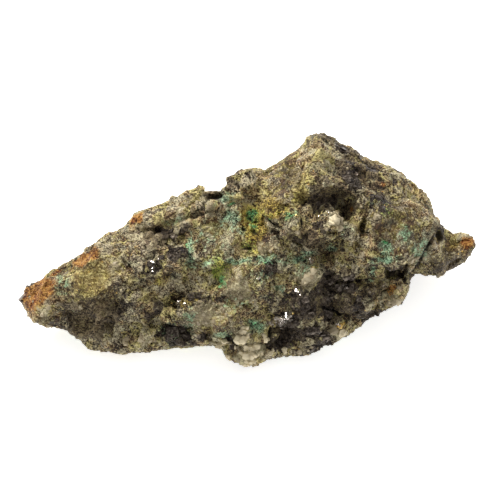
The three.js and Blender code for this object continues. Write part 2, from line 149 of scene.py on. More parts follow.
corners = [vertex.co for vertex in rock.data.vertices]
tip = max(corners, key=lambda corner: corner.x).copy()
towardsEye = Vector((0, -sin(radians(face["lean"])), cos(radians(face["lean"]))))
upFace = Vector((0, cos(radians(face["lean"])), sin(radians(face["lean"]))))


def onFace(across, up):  # a point of the plane through the tip that is parallel to the face
    return tip + Vector((across - face["tipAcross"], 0, 0)) * mm + upFace * (up - face["tipUp"]) * mm


def addCamera():
    lens = bpy.data.cameras.new("camera")
    lens.lens = studio["lens"]
    lens.clip_end = 10
    camera = bpy.data.objects.new("camera", lens)
    scene.collection.objects.link(camera)
    distance = studio["frameHeight"] * mm * lens.lens / lens.sensor_width  # the frame's height is its longer side
    target = onFace(face["viewAcross"], face["viewUp"]) + towardsEye * 6 * mm
    camera.location = target + towardsEye * distance
    camera.rotation_euler = (radians(face["lean"]), 0, 0)
    scene.camera = camera
    return target


def addLight(name, target, offset, size, watts, colour=(1, 1, 1)):
    lamp = bpy.data.lights.new(name, "AREA")
    lamp.shape, lamp.size, lamp.energy, lamp.color = "DISK", size, watts, colour
    light = bpy.data.objects.new(name, lamp)
    scene.collection.objects.link(light)
    light.location = target + Vector(offset)
    light.rotation_euler = (-Vector(offset)).to_track_quat("-Z", "Y").to_euler()


def addFloor():
    shape = bmesh.new()
    bmesh.ops.create_grid(shape, x_segments=1, y_segments=1, size=3)
    mesh = bpy.data.meshes.new("floor")
    shape.to_mesh(mesh)
    shape.free()
    floor = bpy.data.objects.new("floor", mesh)
    scene.collection.objects.link(floor)
    paint = Paint("white board")
    paint.feed(paint.shader, {"Base Color": (0.93, 0.93, 0.92, 1), "Roughness": 0.9, "Specular IOR Level": 0.1,
                              "Emission Color": (1, 1, 1, 1), "Emission Strength": studio["board"]})
    mesh.materials.append(paint.material)


target = addCamera()
addLight("key", target, studio["keyFrom"], 0.3, studio["key"], (1, 0.98, 0.95))
addLight("fill", target, (0.45, -0.05, 0.6), 0.5, studio["fill"], (0.97, 0.98, 1))
addFloor()
world = bpy.data.worlds.new("studio")
scene.world = world
world.use_nodes = True
world.node_tree.nodes["Background"].inputs["Color"].default_value = (1, 1, 1, 1)
world.node_tree.nodes["Background"].inputs["Strength"].default_value = studio["sky"]
scene.view_settings.view_transform = "Standard"
print("camera, lights and floor: done")


# The stone's skin: the solid made even and fine, then chipped, calmer on its smooth planes.
stone = {
    "voxel": 0.34,  # mm, the grain of the even mesh
    "triangles": 194000,
    "proud": 0.22,  # mm, makes up for the edges that the even mesh rounds off
    "chips": ((5.2, 0.4), (2.4, 0.38), (1.2, 0.28)),  # size in mm and slope of the broken chips
    "grit": ((3.2, 0.2), (0.8, 0.12)),  # size and height in mm of the rounder roughness
    "threads": (1.6, 0.2),  # size and height in mm of the thin crests
    # places that stand out, that lie lower and that are cracked: (across, up, half width, half height, turn, mm)
    "raised": [(-56, -11.5, 3.5, 3.5, 0, 1.1), (55.5, 3, 2.6, 2.6, 0, 1.1), (48.5, 5, 3, 2, 20, 0.9), (-14.2, 12.4, 3, 2.2, 10, 0.7),
               (-9.7, 10.9, 1.2, 1.7, 0, 0.7), (10.6, 6, 2, 1.6, -40, 0.4)],
    "lowered": [
        (41.3, -7, 3, 2, 0, 1.3), (20.6, 7.4, 1.6, 1.6, 0, 0.8), (33.8, -15.6, 3, 2, 0, 0.9), (15, -26.5, 4, 2, 0, 0.7), (-7.5, -25, 4, 2, 0, 0.8),
        (-45, -1.8, 4, 1.6, 30, 0.9), (-4, 20, 3, 2, 0, 0.6),
    ],
    "cracks": [
        (6, 6.9, 2.2, 0.35, -38, 1), (10.6, 3.8, 2, 0.5, -25, 0.6), (1.2, 4.6, 1.1, 0.35, -20, 1),
        (-1.2, 5.4, 0.9, 0.35, -30, 1), (0, 8, 0.8, 0.4, -40, 1), (-0.4, 0.8, 0.9, 0.5, 0, 1), (16.8, 19.6, 1.8, 0.6, -70, 0.9),
        (5, -21, 2.6, 0.4, 70, 1.2), (21.2, -15, 3.4, 0.45, -20, 1.2), (-9, 13.6, 2.4, 0.5, 10, 1), (12.8, 7, 0.5, 1.6, 10, 1.2),
        (-13.4, 8.9, 3.2, 0.6, 14, 0.9), (-11.4, 10.8, 0.35, 1.3, 0, 0.9), (-4.6, -22.8, 0.7, 3, 20, 0.9), (7, -22.8, 1.2, 1.4, 0, 0.8),
        (43.4, -0.4, 6.4, 0.6, 62, 1.3), (47, 4, 1.4, 2, 20, 1),
    ],
    # smooth planes: (across, up, half width, half height, turn, strength)
    "planes": [
        (9.5, 19.5, 5, 6, 35, 0.9), (8, 15, 5, 4, 30, 0.8), (-38, -7, 9, 5.4, 25, 0.9), (-2.5, -7.5, 4, 6, -30, 0.85),
        (-9.5, -16.2, 8.5, 3.6, 12, 0.95), (36, 5, 8, 8, 0, 0.95), (51, 0, 6.5, 4.4, 30, 0.8), (-51, -15, 4, 4, 0, 0.6),
        (14.6, -7, 2.6, 2.6, 0, 0.8), (-46, -6, 6, 4, 35, 0.6), (-14, 12.4, 3.4, 2.4, 10, 0.7),
        (-29, 3, 9, 4.5, 32, 0.5), (-28, -8, 8, 5, 10, 0.35), (-8.5, 3, 7.5, 6, 30, 0.7), (3.4, 0.8, 3, 3, 0, 0.8), (10.6, 6, 3, 2, -30, 0.6),
        (13.4, -23.4, 3, 3, 0, 0.6), (37, 12, 5, 4, 0, 0.65),
    ],
}


def onSkin(mesh):  # each vertex's place, its normal, and where on the face it lies, in mm
    places, normals = np.empty(len(mesh.vertices) * 3), np.empty(len(mesh.vertices) * 3)
    mesh.vertices.foreach_get("co", places)
    mesh.vertices.foreach_get("normal", normals)
    places, normals = places.reshape(-1, 3), normals.reshape(-1, 3)
    across = (places[:, 0] - tip.x) / mm + face["tipAcross"]
    up = (places - np.array(tip)) @ np.array(upFace) / mm + face["tipUp"]
    return places, normals, across, up


def patchwork(across, up, patches):  # the strongest of the soft patches at each place
    field = np.zeros(len(across))
    for x, y, wide, high, turn, strength in patches:
        c, s = cos(radians(turn)), sin(radians(turn))
        dx, dy = across - x, up - y
        r = np.hypot((dx * c + dy * s) / wide, (dy * c - dx * s) / high)
        field = np.maximum(field, strength * np.exp(-0.7 * r ** 2.4))
    return field


def seen(normals):  # 1 on the broken face, 0 where the skin turns away from it
    return np.clip((normals @ np.array(towardsEye) + 0.35) / 0.3, 0, 1)


def store(mesh, name, values):
    mesh.attributes.new(name, "FLOAT", "POINT").data.foreach_set("value", np.clip(values, 0, 1).astype(np.float32))


def settle(piece):  # the modifiers' result becomes the mesh
    graph = bpy.context.evaluated_depsgraph_get()
    finished = bpy.data.meshes.new_from_object(piece.evaluated_get(graph))
    old = piece.data
    piece.modifiers.clear()
    piece.data = finished
    bpy.data.meshes.remove(old)


def skinOf(source):  # one even, closed mesh over the solid
    shape = bmesh.new()
    shape.from_mesh(source.data)
    bmesh.ops.remove_doubles(shape, verts=shape.verts, dist=1e-6)
    mesh = bpy.data.meshes.new("stone")
    shape.to_mesh(mesh)
    shape.free()
    skin = bpy.data.objects.new("stone", mesh)
    scene.collection.objects.link(skin)
    remesh = skin.modifiers.new("even", "REMESH")
    remesh.mode, remesh.voxel_size = "VOXEL", stone["voxel"] * mm
    ease = skin.modifiers.new("ease", "SMOOTH")
    ease.factor, ease.iterations = 0.5, 1
    settle(skin)
    return skin


def chip(point, size):  # flat broken facets, each with its own lean
    seed = noise.voronoi(point / size)[1][0]
    lean = noise.cell_vector(seed * 97.3) - Vector((0.5, 0.5, 0.5))
    return (point / size - seed).dot(lean) * size + 0.35 * size * lean.z


def roughen(skin):
    mesh = skin.data
    places, normals, across, up = onSkin(mesh)
    mesh.attributes.new("unbroken", "FLOAT_VECTOR", "POINT").data.foreach_set("vector", places.ravel())
    plane, crack = patchwork(across, up, stone["planes"]), patchwork(across, up, stone["cracks"])
    shift = patchwork(across, up, stone["raised"]) - patchwork(across, up, stone["lowered"]) - crack
    shift = shift * seen(normals)
    calm = (1 - plane) * (1 - 0.5 * np.exp(-(((normals @ np.array(towardsEye)) / 0.3) ** 2)))
    threadSize, threadHeight = stone["threads"]
    rise = np.empty(len(mesh.vertices))
    for index, place in enumerate(places / mm):
        point = Vector(place)
        height = sum(slope * chip(point, size) for size, slope in stone["chips"]) * calm[index]
        height += sum(tall * noise.noise(point / size) for size, tall in stone["grit"]) * (1 - 0.5 * plane[index])
        rise[index] = height - threadHeight * min(1, 5 * abs(noise.noise(point / threadSize))) + threadHeight / 2
    places = places + normals * ((rise + shift + stone["proud"]) * mm)[:, None]
    places[:, 2] = np.maximum(places[:, 2], 0)
    mesh.vertices.foreach_set("co", places.ravel())
    mesh.update()
    # kept for painted shade: low places darker, high places lighter
    store(mesh, "relief", 0.5 + rise / 2)
    store(mesh, "plane", plane)
    # the crack field also paints shadow into the cracks
    store(mesh, "crack", crack)


def thin(skin):  # fewer triangles, most of them taken from the flat places
    mesh = skin.data
    count = sum(len(polygon.vertices) - 2 for polygon in mesh.polygons)
    fewer = skin.modifiers.new("thin", "DECIMATE")
    fewer.ratio = min(1, stone["triangles"] / count)
    fewer.use_collapse_triangulate = True
    settle(skin)


skin = skinOf(rock)
roughen(skin)
thin(skin)
print("skin:", len(skin.data.polygons), "faces")


# Stains: soft patches on the broken face.
# Each patch is (across, up, half width, half height, turn in degrees, strength).
stains = {
    # dark brown stain, partly painted shade: it also darkens the recess facing down at the lower left and the hollow
    # under the brow
    "umber": [
        (-39, -17, 9.5, 5.5, 8, 1), (-47, -15.6, 5, 4, 0, 0.8), (-26, -13, 4, 3.4, 0, 0.5), (18.5, 29, 4.4, 1.6, -8, 1),
        (13, 26.4, 3.6, 0.8, 40, 0.9), (30, 19, 9, 4, -33, 0.75), (24, 21.5, 3.4, 5.4, -20, 0.85), (50, 0, 6, 2.6, 25, 0.55), (16.8, 19, 1.4, 1.2, 0, 0.7), (18, 14, 6.6, 3.4, 0, 0.9), (24.5, 10.4, 3, 4, 0, 0.8),
        (-5, 18, 1.8, 2.4, 0, 0.8), (-8.6, 14.4, 2.6, 1, 8, 1), (51, -3.4, 7, 1.5, 28, 1), (54.6, 0, 2.4, 1.6, 20, 0.5),
        (46.8, 4, 2, 2.4, 0, 0.9), (-22, 4, 6, 3.4, 5, 0.8), (22, -7, 7, 4, 0, 0.7), (12, -17, 10, 8, 0, 0.8), (24, -13.6, 6, 4, 0, 0.9), (32, -13, 4, 4, 0, 0.8), (30, -9, 5, 2.4, 0, 0.8), (7, 8, 4, 2.4, -45, 0.4),
        (14, 3, 5, 2.6, -10, 0.7), (-7, -7, 4, 2, 0, 0.3), (45.6, 10, 1.4, 5, 0, 0.6), (37, -6, 4, 2, 0, 0.8),
    ],
    "quartz": [
        (17.6, 21.6, 2.4, 1.2, 10, 0.7), (15, 25, 2.6, 1.2, 0, 0.5), (20.6, 7.4, 2, 1.8, 0, 1.3), (14.6, -7, 2.1, 2.1, 0, 1.3), (3.4, 0.8, 2.6, 2.4, 0, 0.8),
        (-3, -8, 4.4, 5.6, 30, 0.7), (-10, -16, 7, 3, 10, 0.9), (-0.4, -24.6, 3.4, 4.4, 0, 0.9), (-7.2, -23.3, 1.6, 1.6, 0, 1), (-26, -22.4, 3.8, 2.6, 0, 0.7),
        (23, -20, 2.4, 2, 0, 0.9), (36, -12.4, 3.2, 3, 0, 0.9), (42.6, -2, 3.4, 2.4, 0, 0.8), (-10, 11, 1.3, 1.8, 0, 0.8),
        (-14.4, 12.2, 3.4, 2.2, 10, 0.5), (-51.6, -16, 3, 3, 0, 0.6), (-33, -3, 2.6, 1.8, 0, 0.25),
        (30, 8, 3, 3, 0, 0.25), (27, -2, 2, 2, 0, 0.3),
        (14, -23.5, 2.4, 2.2, 0, 0.7), (10.3, -13.7, 1.3, 1.4, 0, 0.9), (15.3, -17.4, 1, 1.2, 0, 0.7), (12.9, -17, 1.4, 1.9, 0, 0.8), (30.6, -13.4, 1.6, 1.2, 0, 0.7),
        (52, -0.6, 2, 1.4, 0, 0.3), (-30, 4.4, 4, 2.6, 30, 0.35), (9.6, 21.4, 5, 4, 20, 0.35), (-20, 9.4, 3, 2.4, 0, 0.3),
        (18.6, -18, 1.2, 1.2, 0, 0.5), (25.6, -17.6, 1, 1, 0, 0.5), (33, -7, 1.4, 1.2, 0, 0.5), (22.8, -11, 1.2, 1.4, 0, 0.45),
    ],
    "sulphide": [
        (-18.4, 0, 3, 1.6, -15, 1), (12.6, -10.4, 2.4, 2.2, 0, 1.1), (4.4, -4, 2.4, 1.6, 0, 0.9), (-13, -11.6, 4.4, 1.6, -8, 0.9),
        (31.6, 12, 2.6, 3, 0, 0.8), (25, 18, 2.4, 3.4, 15, 0.9), (22.6, 26, 2, 1.6, -30, 0.8), (-30, -13, 2, 4.6, 0, 0.8), (5, -12.6, 1.6, 1.6, 0, 0.7),
        (17, 6.4, 1.4, 2, 0, 0.7), (16.4, -25, 3, 1.6, 15, 1), (17.8, -18.2, 2, 1.8, 0, 0.9), (3, 5, 1.6, 2.4, 30, 0.5), (35.6, -8.8, 1.6, 1.2, 0, 0.7),
        (21.6, -8.8, 6, 3.4, 0, 1), (33.4, -9, 3, 3, 0, 0.25), (-4.6, -23.6, 1, 3, 20, 0.9), (7.2, -22.8, 1.8, 1.8, 0, 0.9), (13, -18, 8, 8, 0, 0.9), (29, -15, 5, 4.6, 20, 0.9), (-18.4, -21, 3.8, 2.8, 0, 1.3), (-11.8, -21.4, 1.1, 1.4, 0, 1.3),
        (18.5, 11.6, 6, 4, 0, 0.7), (-20.4, 4.6, 5, 2.6, 0, 0.8), (-24.4, -3, 2.6, 4, 0, 0.6), (-16.5, -13.4, 3.6, 1.4, 10, 0.85), (-9, -11.6, 4, 1.2, 12, 0.6), (-32.4, -9.6, 2.4, 2, 0, 0.7),
        (-2, 18, 3.4, 2, 0, 0.5), (36, -5.6, 3.4, 1.6, 0, 0.8), (-35, -17, 9, 5, 0, 0.25), (-8.4, 14.2, 2.4, 0.9, 0, 0.7),
        (47.5, 4.6, 1.4, 1.6, 0, 0.9), (18.6, 27.4, 4, 1.4, -10, 0.6), (12, 4, 7, 2.6, -25, 0.5), (-24, -14, 4, 4, 0, 0.5),
        (22, 1, 3, 3, 0, 0.3), (33, 20, 9, 3.4, -33, 0.4), (-47, -16, 5, 3.4, 0, 0.3),
    ],
    "ochre": [
        (6.6, 11, 3, 2.4, 20, 0.65), (11, 17, 2, 4, -15, 0.6), (-40, -3.4, 4, 2.2, 30, 0.8), (8, -7, 3, 2, 0, 0.6), (46.4, -2, 4, 2, 30, 0.7), (-29.4, -7, 2, 2, 0, 0.7),
        (-26, -11, 2.4, 2, 0, 0.6), (20, 5.4, 2, 1.6, 0, 0.5),
        (-39.5, -6.2, 6.5, 6, 20, 0.85), (-45, -8, 4, 4, 0, 0.5), (4, 15, 4, 3, 20, 0.5), (-33, -2, 4, 3, 0, 0.5), (-24, -11, 2, 2, 0, 0.5), (-1, 9, 2, 3, 0, 0.5),
        (7.6, 10.2, 4, 1.6, -25, 1), (12.6, 15.6, 1.6, 4.6, -15, 1.2), (-22, -6.8, 2.2, 2, 0, 0.8),
        (16, 22, 3, 2.4, 0, 0.45), (-15, -7.5, 3, 3, 0, 0.4), (48, -1, 4, 3, 20, 0.45), (25, 8, 2, 3, 0, 0.35),
    ],
    "amber": [
        (-1, 8.4, 2, 2.4, 0, 0.9), (5.6, 9.4, 2.6, 1.4, 0, 0.8),
        (4.6, 11.6, 4.6, 3, 20, 0.7), (0.8, 6.6, 3, 4.4, 0, 1.3), (8, -6, 3, 2, 0, 0.45), (46.5, 4, 2, 2, 0, 0.6), (-15.4, -12.6, 2.6, 1.6, 0, 0.7), (12.4, 18, 1, 4, -15, 0.5),
        (-23, -7.4, 1.6, 1.6, 0, 0.6), (51, 1, 4, 1.6, 15, 0.6), (16, -3.6, 1.4, 1, 0, 0.6), (22, 8.6, 1.4, 1.6, 0, 0.4),
        (8, 21, 5, 3, 30, 0.3),
    ],
    "rust": [
        (-53, -10.2, 5.2, 3, 36, 1.1), (-55, -12.6, 2.4, 2.8, 30, 0.9), (-54.4, -14, 1.3, 2.6, 20, 0.7), (-41, -1.8, 4.4, 1.7, 32, 1), (-48.6, -5.4, 2, 1, 34, 0.7), (-28.8, 8, 2.4, 1.1, 42, 1),
        (-34.6, -1.4, 3, 2, 0, 0.35), (-20, 7.6, 3, 2.4, 0, 0.3), (48, -1.6, 4, 2, 20, 0.35), (54.8, 2.2, 2, 1.8, 20, 0.9), (51, 1.4, 2.4, 1.4, 10, 0.35), (45.6, 10.4, 1, 4, 0, 0.4),
        (33, 16.2, 0.9, 0.9, 0, 0.7), (35.2, -9.6, 1.5, 1.4, 0, 0.8), (25.5, 10, 0.8, 1.2, 0, 0.7), (40, 16.5, 3, 0.8, -35, 0.6),
        (-15.5, -7.4, 2.4, 2, 0, 0.35), (15.6, -4, 0.9, 0.8, 0, 0.6), (10.4, 9.4, 1.2, 0.8, 0, 0.3),
    ],
    "teal": [
        (-14.8, 1.4, 0.8, 3.4, 0, 0.65), (-12.6, 3.4, 2.4, 0.6, 35, 0.5), (-14, -3.4, 1.4, 2.2, 0, 0.5),
        (-5, 8, 3.4, 2, 20, 0.6), (8, -2, 3, 1.2, 0, 0.5), (7.4, -9, 2.6, 1.8, 0, 0.4), (-7, -20.4, 2.4, 1.2, 20, 0.5), (38, 4.4, 1.6, 3, 0, 0.5),
        (-9, 2, 5, 4, 0, 0.3), (-2.5, -2.4, 11, 1, 4, 0.7), (13, -1.6, 4, 1.3, 15, 0.7),
        (-3, 6, 3, 3, 0, 0.45), (33.4, 0.6, 1.6, 2.6, 30, 0.65), (33, -2, 4, 0.9, 10, 0.75), (43, 0.6, 1.2, 3, 0, 0.65),
        (41.6, 0, 2, 2.4, 0, 0.6), (30.2, -5.2, 0.9, 2, 0, 0.7), (23, 5, 2, 2, 0, 0.4), (30, 12, 2, 2, 0, 0.3),
        (1.6, -18.4, 2, 2, 0, 0.75), (-20, -20.4, 2.8, 3.6, 0, 0.35), (-46.8, -8, 2.2, 2.4, 40, 0.5), (20, 1, 2, 1.4, 0, 0.45),
        (10.4, 9, 1.6, 1.6, 0, 0.5), (-19, 8, 3, 2, 20, 0.3), (2, -6, 3, 2, 0, 0.5), (-4, -12.6, 4, 2, 0, 0.4),
        (-15, -17, 1.6, 4, 0, 0.5), (-6, 13.5, 2.6, 1.2, 30, 0.6), (-7, -17, 4, 3, 0, 0.2), (14, -5, 3, 2, 0, 0.5),
    ],
    "moss": [
        (0.6, 8.6, 1.6, 1.8, 0, 0.7), (0.8, 5.8, 1, 1.4, 0, 0.6), (-0.4, 1.4, 1.6, 1.4, 0, 0.8), (4.8, 9.8, 1.2, 0.8, 0, 0.6),
        (-7.4, -4.6, 1.7, 3.2, 15, 0.9), (-8, -2, 1.2, 0.9, 0, 0.5), (34.2, 9.8, 1.6, 1.2, 0, 0.6),
    ],
    "emerald": [
        (0.3, 9, 1.2, 1, 0, 0.85), (0.7, 6.6, 0.9, 0.8, 0, 0.75), (5, 8.8, 0.7, 0.5, 0, 1), (9.4, 8.8, 1.4, 1, 0, 0.6), (-6.6, -7.4, 0.8, 1.4, 0, 0.7),
        (1.8, -18.6, 1, 1.6, 0, 0.5), (-5.6, -21.6, 0.6, 0.5, 30, 0.7), (-15.6, 1.6, 0.6, 0.7, 0, 0.7), (33.6, 2, 0.7, 0.5, 0, 0.9),
        (-5, 11.6, 0.8, 0.5, 0, 0.9), (4, -3, 1.6, 0.6, 20, 0.35),
    ],
    "yellow": [
        (3.6, 9.7, 1.2, 0.6, 0, 1.1), (6.4, 9.8, 1.2, 0.5, -15, 1.1), (9.2, 10.8, 1.4, 0.6, 55, 0.7), (13.6, 16, 0.8, 1.4, -15, 0.45), (11.2, 13.6, 0.4, 2.4, -30, 0.6),
        (1, 0.1, 1.1, 0.4, -40, 1.1), (-0.8, 5.6, 0.5, 1.6, 0, 0.7), (-7.6, -3.2, 0.9, 0.9, 0, 0.8), (-22.4, -7, 0.8, 0.8, 0, 0.6), (2.4, 4.8, 1.2, 0.4, -20, 0.7), (0.6, 10.4, 1.4, 0.4, 0, 0.7),
        (16.8, -19, 0.6, 1, 0, 0.5),
    ],
}

# Paler and darker patches, in the same form: partly the ground's own tone, partly painted light on lit faces and rims
# and painted shade in hollows and on undersides.
tone_and_painted_light_patches = {
    "paler_and_painted_light": [
        (20, 12, 5, 3, 0, 0.5), (17, 23, 3, 3, 0, 1.7), (-9, -15.6, 6, 3, 12, 1.7), (-37, -7.5, 6, 4.5, 25, 0.7), (-18, 7, 6, 4, 0, 1.3), (-50, -12.4, 5, 3.4, 30, 1.1),
        (-38, -19, 6, 4, 0, 0.9), (36.6, -12, 3.4, 2.4, 0, 1.7), (-18, -21.6, 2, 2, 0, 0.5), 
        (-7.5, -16, 2.6, 2, 0, 1.1), (-10.4, -14.4, 3, 1.4, 12, 0.6), (2, -8, 1.6, 1.6, 0, 0.4),
        (-36, -15, 2.4, 4, 0, 0.9), (-22, 6, 4, 1.6, 10, 0.8), (23.6, -8.4, 3, 1.2, 0, 0.8), (-1, -24.6, 3.4, 4, 0, 0.8),
        (-9.6, -15, 4, 1.8, 12, 0.8), (-3, -7, 2.4, 4, -30, 0.6), (24, -8.6, 3, 1.4, 0, 0.9), (17, -11, 1.6, 1.8, 0, 1), (13.4, -22, 2, 1.6, 0, 0.8), (9, -18.4, 1.4, 2.4, 0, 0.6),
        (12.4, -21, 2.4, 2.2, 0, 1.4), (-8, -22.4, 2.4, 1.6, 30, 1.6), (-24, -3, 2.4, 2.4, 0, 0.9), (-14, 13, 3, 1.4, 0, 0.8), (18, 23, 3, 2.4, 0, 0.8),
        (34, 4, 2, 3, -20, 0.8), (40, 15.4, 2.4, 3, -30, 0.7), (-0.6, -7, 2, 2.4, 0, 1), (-14.4, -5.4, 2, 1.6, 0, 0.8), (-52, -15, 3, 2.4, 0, 0.7),
        (-20, 7.6, 3, 3, 0, 2), (-26, 4.6, 4, 2.6, 30, 1.5), (-8.6, 6, 3, 2.6, 0, 1.2), (-14, 11, 1.6, 3, 0, 1), (-15, 12.6, 5, 2, 10, 0.8), (-40, -11, 5, 3, 0, 0.6), (-36, -13, 2.4, 5, 0, 1.8), (-38, -20, 4, 2, 0, 0.7),
        (-9.6, 14, 1.8, 1.2, 0, 1.7), (17, 23, 4, 3, 0, 1.1), (-0.4, -26, 3.4, 3, 0, 2), (3, -23, 3, 2.4, 0, 0.8), (6.6, -17, 2, 2.4, 0, 1.7), (9.6, -20.6, 4.6, 2.4, 0, 1.4), (0, -21, 3, 2, 0, 1), (-10, -15.4, 6, 2, 12, 0.9),
        (24.6, -8.4, 3.6, 1.6, 0, 1.4), (18, -10.6, 2.4, 2.6, 0, 1.2), (9.4, -7.6, 1.6, 2.4, 0, 0.9), (12, 5, 3, 3, 0, 0.8), (46.2, 4, 2.6, 4, 0, 1.7), (51, 2, 2, 2.4, 0, 0.8), (24, 0, 5, 2.4, 0, 0.6), (-55, -16, 2.6, 2, 0, 0.6),
        (-8, -16, 3, 3, 0, 0.6), (40.6, 14, 2.4, 3, 0, 0.9), (-0.6, 13, 1.8, 3.6, 0, 1.5), (-14, -4, 3, 3, 0, 0.4), (-50, -12, 3, 2, 0, 1.1),
        (-35, -18, 3, 3, 0, 0.8), (-3, 0, 2, 2, 0, 0.9), (34.6, 5, 3, 2.4, 60, 0.9), (31, -12, 2, 3, 0, 0.6), (19, 13.6, 6, 2, 0, 1.6), (29, 10, 2.4, 2, 0, 0.9),
        (-26, -12.2, 2.6, 2.6, 0, 1.1), (-12, 5.2, 4, 1.8, 20, 0.9), (-8, -6.6, 4, 1.6, 45, 1), (-15, -7.4, 2, 2, 0, 0.8), (-7.2, -23.2, 2.6, 1.4, 0, 1.6),
        (4, -22, 2, 2, 0, 1), (21.4, -20, 3, 1.6, 20, 1.3), (-43.4, -13.4, 2.6, 2, 0, 1.2), (-54, -17, 2, 1.6, 0, 0.8), (-21.6, -21.4, 1.6, 3, 0, 0.6), (33.4, -7, 3, 1.6, 0, 0.9),
        (1, -17, 2, 2, 0, 0.6), (30, 19, 3, 2, 0, 0.4), (-0.4, 8, 2, 2, 0, 0.6), (49, 3.6, 2, 2, 0, 0.6), (-29, 8, 3, 1.6, 40, 0.4),
    ],
    "darker_and_painted_shade": [
        (37, 9, 7, 7, 0, 0.25), (25, 16, 5, 4, 0, 0.9), (24, -13, 6, 3, 0, 0.6), (17, -20, 4, 3, 0, 0.8),
        (3, 5.4, 1.8, 2, 0, 1), (14, 0, 2.4, 2, 0, 0.9), (-16, -14, 2.6, 2, 0, 1), (-9, -9.4, 3, 1, 0, 0.8), (18, -18.4, 2, 2, 0, 0.9), (30, 0, 1.6, 2, 0, 0.6),
        (28.4, 13, 4, 2.6, -10, 1.9), (31.6, 9, 1.8, 2, 0, 1.5), (24, 21, 2, 2, 0, 1), (-30, -15.6, 2.4, 4, 0, 2), (-28, -3, 2, 2, 0, 1.1),
        (-37.6, -9, 2.4, 1.6, 0, 1), (-45, -15, 2.4, 1.8, 0, 0.9), (-9.6, -10.6, 4.4, 1.4, 8, 1.4), (-16, -17.4, 1.6, 2, 0, 1.4), (5, -12.6, 2, 1.8, 0, 1.6),
        (17, 6.4, 1.6, 2, 0, 1.2), (14, 0, 3, 1.8, 0, 1), (23, -5, 2, 1.4, 0, 1.1), (35.6, -9, 2, 1.4, 0, 1.2), (16, 28.4, 3, 1, -10, 1.6),
        (2.4, 12.4, 2, 1.6, 0, 0.9), (38.4, 4, 1.6, 2, 0, 0.9), (16, -25, 3, 2, 20, 1.6), (1.6, 20, 3, 1, 0, 0.8),
        (-30.6, -11, 2.2, 3.6, 0, 1.5), (-30.6, -17, 2, 2.8, 0, 1.2), (-13, -12, 5.4, 2.2, -8, 2), (-16, -16.6, 2.6, 2.6, 0, 1.1),
        (-3.8, -21.6, 2.2, 2.6, 0, 1.5), (-18.4, 0, 3, 1.7, -15, 1.8), (4.6, -4, 2.6, 1.8, 0, 1.4), (1.2, -7.6, 1.8, 3, 0, 1.5), (3, 4.6, 2.4, 3, 0, 1.1),
        (12.8, -10.2, 2.8, 2.6, 0, 2), (12.2, -10, 1.8, 1.6, 0, 2), (14, 1.6, 5, 2, -12, 0.7), (25, 18, 3, 4, 15, 2), (31.5, 13, 6, 3.4, -20, 1.3), (17.8, -18, 2.2, 2, 0, 2),
        (26, -19.4, 3, 1.4, 30, 0.5), (13, -26, 7, 1.4, 10, 2), (-38, -24.6, 5, 1.2, 0, 1.3), (43, -5.6, 4, 1, 0, 1.8), (45.6, -2.6, 4, 2.4, 30, 1.6),
        (22.4, 26, 3, 2, -30, 1.4), (31, 20, 2.4, 1.6, 0, 1.1), (36, -3.6, 2, 1.6, 0, 0.7), (-55, -11, 3, 3, 30, 0.9), (-45.6, -3.6, 2.4, 1.2, 30, 0.8), (-48, -18.6, 5, 1.4, 0, 1.2), (-24, -4.6, 3, 2.6, 0, 0.9),
        (-10, 10, 2, 1.6, 0, 0.6), (39, 5, 1.4, 3, 0, 0.5), (23.6, -13.4, 3, 2.6, 0, 1.9), (30.6, -10.2, 2, 2, 0, 1.3), (32, -15, 2.4, 2, 0, 1.2), (5, -13, 2, 2, 0, 1.2), (-29, 3, 2.6, 1.8, 0, 1.7),
        (-10, 0.4, 4, 1.4, 0, 0.9), (37, -11.4, 3, 2, 0, 1), (17.6, 18.4, 4, 1.8, 0, 1), (11, 9, 2.4, 2, 0, 1.1), (18.4, 6, 1.4, 2.6, 30, 1.1),
        (-4, 18.6, 2, 1.6, 0, 1.6), (-23, 9, 2, 1.4, 20, 0.9), (22, 9.2, 2, 1.6, 0, 1.7), (15.4, 0.4, 3, 1.6, 0, 0.7), (8, 17.6, 3, 2.6, 0, 0.6), (-13, 10.6, 2, 1.2, 0, 0.7),
        (28, 11.6, 2, 2, 0, 0.6), (-42, 0, 4, 1.2, 32, 0.5), (-6.4, -9.6, 3, 1, 20, 0.7),
    ],
}


minerals = {"umber": 0.4, "quartz": 0.46, "sulphide": 0.5}  # how far a grain may differ from its neighbours


def bend(mesh):  # how far each vertex's neighbours rise above it, as a slope: hollows are above 0, crests below
    places, normals, _, _ = onSkin(mesh)
    ends = np.empty(len(mesh.edges) * 2, int)
    mesh.edges.foreach_get("vertices", ends)
    total, count = np.zeros(len(places)), np.zeros(len(places))
    for near, far in (ends.reshape(-1, 2).T, ends.reshape(-1, 2).T[::-1]):
        step = places[far] - places[near]
        np.add.at(total, near, (step * normals[near]).sum(axis=1) / np.linalg.norm(step, axis=1))
        np.add.at(count, near, 1)
    return total / count


